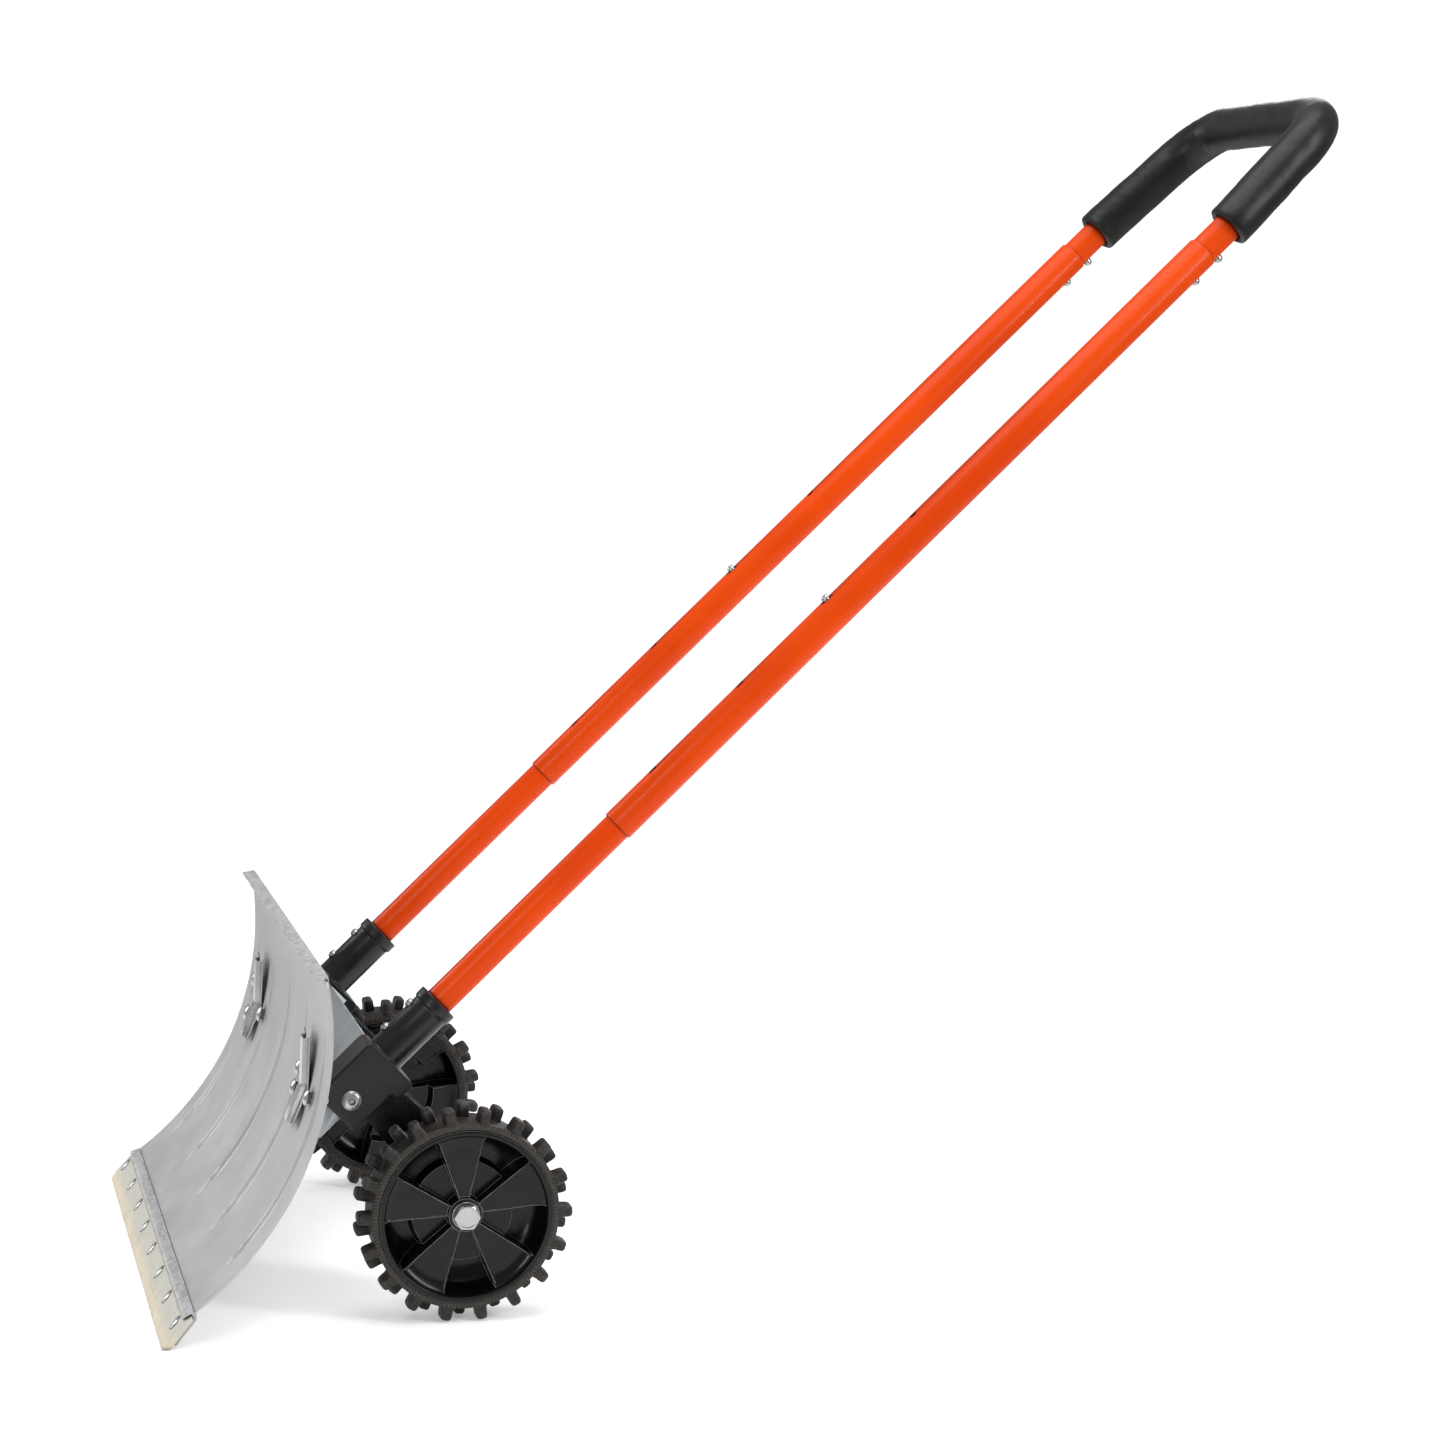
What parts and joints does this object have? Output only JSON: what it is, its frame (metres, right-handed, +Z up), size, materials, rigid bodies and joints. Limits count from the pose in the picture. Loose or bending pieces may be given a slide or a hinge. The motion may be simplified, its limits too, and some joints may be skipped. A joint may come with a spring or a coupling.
{
  "type": "wheeled snow pusher",
  "caption": "Snow pusher with a curved ribbed blade and wear strip on small lugged wheels, and a telescoping twin-tube U handle with a foam grip.",
  "frame": {"origin": "centre of the bounding box's bottom face: on the ground, midway between the sides and between the blade's toe and the handle's crossbar", "axes": "+X across the width towards the user's left, -Y the way the blade faces and pushes, +Z up"},
  "size_m": [0.52, 1.0327, 1.031],
  "materials": {
    "blade_metal": "matte",
    "galvanised": "satin",
    "wear_polymer": "matte",
    "zinc_plate": "satin",
    "bright_zinc": "gloss",
    "black_plastic": "satin",
    "black_paint": "gloss",
    "hub_plastic": "gloss",
    "tread_rubber": "matte",
    "orange_paint": "gloss",
    "foam": "matte",
    "spring_steel": "satin"
  },
  "bodies": {
    "chassis": {"blade_sheet": "blade_metal", "top_edge_trim": "galvanised", "lower_edge_rail": "galvanised", "wear_strip": "wear_polymer", "strip_rivets": "bright_zinc", "blade_bolts": "bright_zinc", "blade_nuts": "bright_zinc", "cross_bracket": "zinc_plate", "socket_screws": "bright_zinc", "cheek_bolts": "bright_zinc", "cheek_washers": "bright_zinc", "cheek_nuts": "bright_zinc", "axle_washers": "bright_zinc", "axle_spacers": "zinc_plate", "axle_nuts": "bright_zinc", "front_strap_left": "bright_zinc", "socket_left": "black_plastic", "axle_bracket_left": "black_paint", "axle_bolt_left": "bright_zinc", "lower_tube_left": "orange_paint", "length_spring_left": "spring_steel", "front_strap_right": "bright_zinc", "socket_right": "black_plastic", "axle_bracket_right": "black_paint", "axle_bolt_right": "bright_zinc", "lower_tube_right": "orange_paint", "length_spring_right": "spring_steel"},
    "upper_tubes": {"upper_tube_left": "orange_paint", "upper_tube_right": "orange_paint"},
    "handle": {"handle_tube": "orange_paint", "foam_grip": "foam", "handle_spring_left": "spring_steel", "handle_spring_right": "spring_steel"},
    "wheel_left": {"hub_left": "hub_plastic", "tyre_left": "tread_rubber"},
    "wheel_right": {"hub_right": "hub_plastic", "tyre_right": "tread_rubber"},
    "length_button_left": {"length_button_left": "bright_zinc"},
    "handle_button_low_left": {"handle_button_low_left": "bright_zinc"},
    "handle_button_high_left": {"handle_button_high_left": "bright_zinc"},
    "length_button_right": {"length_button_right": "bright_zinc"},
    "handle_button_low_right": {"handle_button_low_right": "bright_zinc"},
    "handle_button_high_right": {"handle_button_high_right": "bright_zinc"}
  },
  "joints": [
    {"name": "wheel_left_spin", "type": "hinge", "parent": "chassis", "child": "wheel_left", "pos_m": [0.208, -0.2673, 0.089], "axis": [1, 0, 0], "continuous": true},
    {"name": "wheel_right_spin", "type": "hinge", "parent": "chassis", "child": "wheel_right", "pos_m": [-0.208, -0.2673, 0.089], "axis": [1, 0, 0], "continuous": true},
    {"name": "tube_extension", "type": "slide", "parent": "chassis", "child": "upper_tubes", "axis": [0, 0.7145, 0.6997], "range_m": [-0.103, 0.206], "deforming": ["length_button_left", "length_button_right", "length_spring_left", "length_spring_right"]},
    {"name": "handle_insert", "type": "slide", "parent": "upper_tubes", "child": "handle", "axis": [0, 0.7145, 0.6997], "range_m": [-0.0282, 0], "deforming": ["handle_button_low_left", "handle_button_high_left", "handle_button_low_right", "handle_button_high_right", "handle_spring_left", "handle_spring_right"]},
    {"name": "length_button_left_press", "type": "slide", "parent": "chassis", "child": "length_button_left", "axis": [0, 0.6997, -0.7145], "range_m": [0, 0.0055], "stiffness_N_per_m": 900, "springref_m": -0.003, "deforming": ["length_spring_left"]},
    {"name": "handle_button_low_left_press", "type": "slide", "parent": "handle", "child": "handle_button_low_left", "axis": [0, -0.6997, 0.7145], "range_m": [0, 0.0055], "stiffness_N_per_m": 900, "springref_m": -0.003, "deforming": ["handle_spring_left"]},
    {"name": "handle_button_high_left_press", "type": "slide", "parent": "handle", "child": "handle_button_high_left", "axis": [0, -0.6997, 0.7145], "range_m": [0, 0.0055], "stiffness_N_per_m": 900, "springref_m": -0.003, "deforming": ["handle_spring_left"]},
    {"name": "length_button_right_press", "type": "slide", "parent": "chassis", "child": "length_button_right", "axis": [0, 0.6997, -0.7145], "range_m": [0, 0.0055], "stiffness_N_per_m": 900, "springref_m": -0.003, "deforming": ["length_spring_right"]},
    {"name": "handle_button_low_right_press", "type": "slide", "parent": "handle", "child": "handle_button_low_right", "axis": [0, -0.6997, 0.7145], "range_m": [0, 0.0055], "stiffness_N_per_m": 900, "springref_m": -0.003, "deforming": ["handle_spring_right"]},
    {"name": "handle_button_high_right_press", "type": "slide", "parent": "handle", "child": "handle_button_high_right", "axis": [0, -0.6997, 0.7145], "range_m": [0, 0.0055], "stiffness_N_per_m": 900, "springref_m": -0.003, "deforming": ["handle_spring_right"]}
  ]
}
